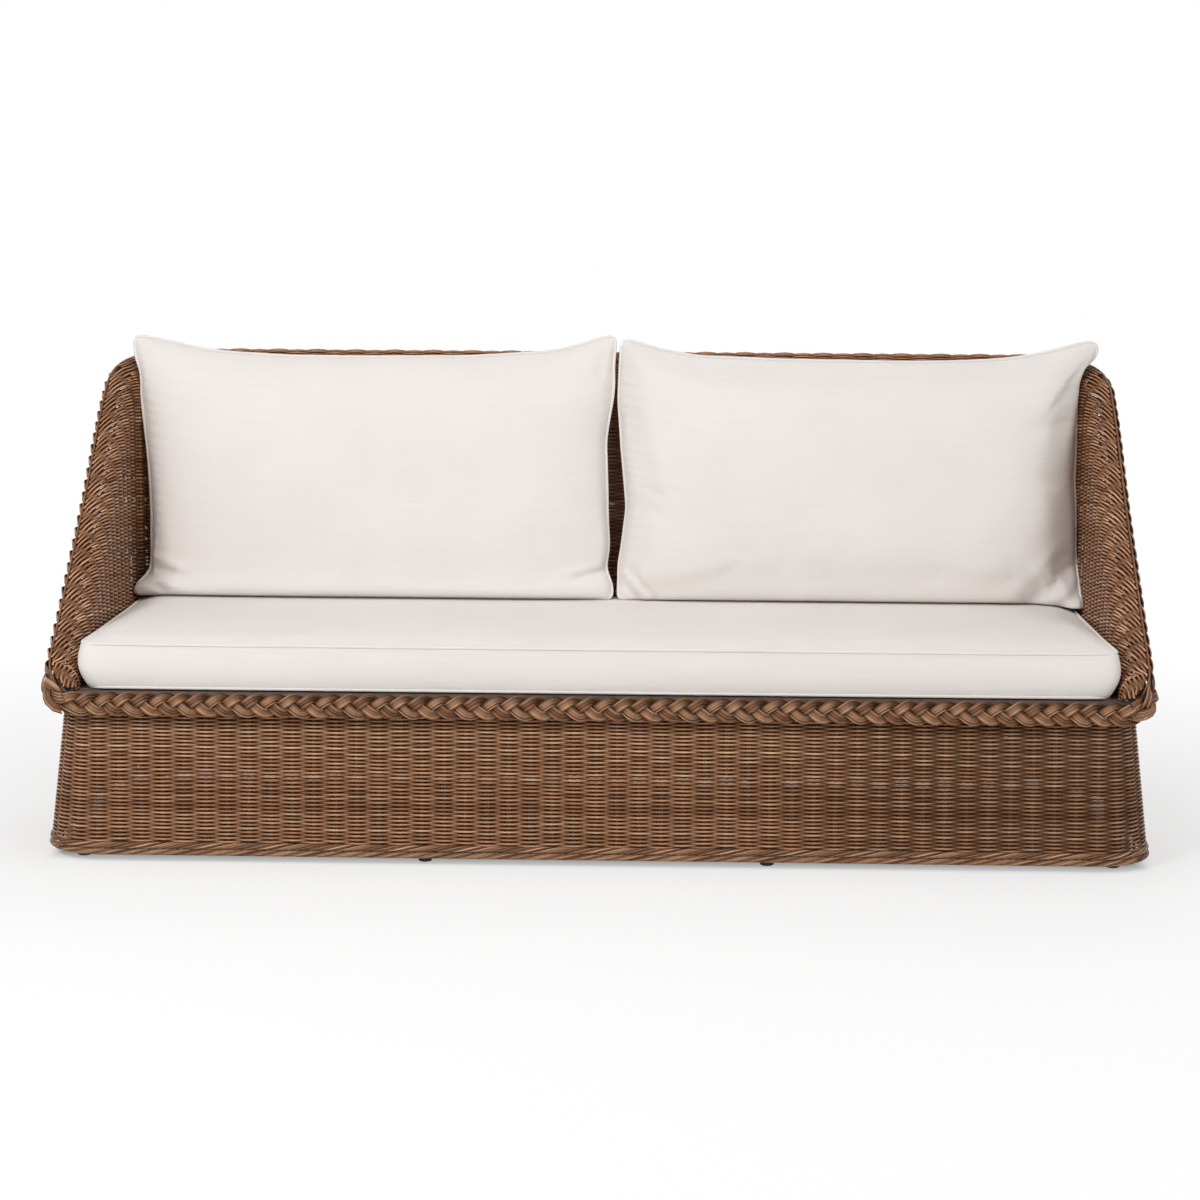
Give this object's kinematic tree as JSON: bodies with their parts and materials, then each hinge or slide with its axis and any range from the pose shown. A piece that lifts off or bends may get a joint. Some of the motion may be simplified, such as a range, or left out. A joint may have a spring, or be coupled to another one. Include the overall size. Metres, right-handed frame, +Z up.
{
  "type": "rattan garden sofa",
  "caption": "Long woven rattan garden sofa with a flared skirt, sloping rolled arms, a plaited border round the rim, a boxed seat cushion and loose back cushions.",
  "frame": {"origin": "on the floor, at the middle of the sofa's width and depth", "axes": "+X to the sofa's right as seen from the front, +Y to the back, +Z up; the front faces -Y"},
  "size_m": [2.201, 0.932, 0.9916],
  "materials": {
    "wicker": "satin woven cane",
    "border_cane": "satin plaited cane",
    "pole": "satin rattan pole",
    "slat_wood": "matt sawn wood",
    "glider": "matt",
    "canvas": "matt woven cloth"
  },
  "bodies": {
    "frame": {"bearer_1": "pole", "bearer_2": "pole", "bearer_3": "pole", "bearer_4": "pole", "braid_back": "border_cane", "braid_front": "border_cane", "braid_left": "border_cane", "braid_right": "border_cane", "deck_slat_1": "slat_wood", "deck_slat_2": "slat_wood", "deck_slat_3": "slat_wood", "deck_slat_4": "slat_wood", "deck_slat_5": "slat_wood", "deck_slat_6": "slat_wood", "deck_slat_7": "slat_wood", "deck_slat_8": "slat_wood", "foot_border": "border_cane", "foot_hoop_back": "pole", "foot_hoop_front": "pole", "foot_hoop_left": "pole", "foot_hoop_right": "pole", "glider_front_corner_left": "glider", "glider_front_corner_right": "glider", "glider_front_middle_left": "glider", "glider_front_middle_right": "glider", "glider_rear_corner_left": "glider", "glider_rear_corner_right": "glider", "glider_rear_middle_left": "glider", "glider_rear_middle_right": "glider", "leg_front_corner_left": "pole", "leg_front_corner_right": "pole", "leg_front_middle_left": "pole", "leg_front_middle_right": "pole", "leg_rear_corner_left": "pole", "leg_rear_corner_right": "pole", "leg_rear_middle_left": "pole", "leg_rear_middle_right": "pole", "post_arm_left": "pole", "post_arm_right": "pole", "post_back_left": "pole", "post_back_right": "pole", "post_corner_left": "pole", "post_corner_right": "pole", "rim_pole_back": "pole", "rim_pole_front": "pole", "rim_pole_left": "pole", "rim_pole_right": "pole", "seat_ring_back": "pole", "seat_ring_front": "pole", "seat_ring_left": "pole", "seat_ring_right": "pole", "skirt_weave": "wicker", "wall_weave_back": "wicker", "wall_weave_left": "wicker", "wall_weave_right": "wicker"},
    "seat_cushion": {"seat_cushion": "canvas"},
    "back_cushion_left": {"back_cushion_left": "canvas"},
    "back_cushion_right": {"back_cushion_right": "canvas"}
  },
  "joints": [
    {"name": "seat_cushion_lift", "type": "slide", "parent": "frame", "child": "seat_cushion", "axis": [0, 0, 1], "range_m": [0, 0.62]},
    {"name": "back_cushion_left_lift", "type": "slide", "parent": "seat_cushion", "child": "back_cushion_left", "axis": [0, 0, 1], "range_m": [0, 0.52]},
    {"name": "back_cushion_right_lift", "type": "slide", "parent": "seat_cushion", "child": "back_cushion_right", "axis": [0, 0, 1], "range_m": [0, 0.52]}
  ]
}
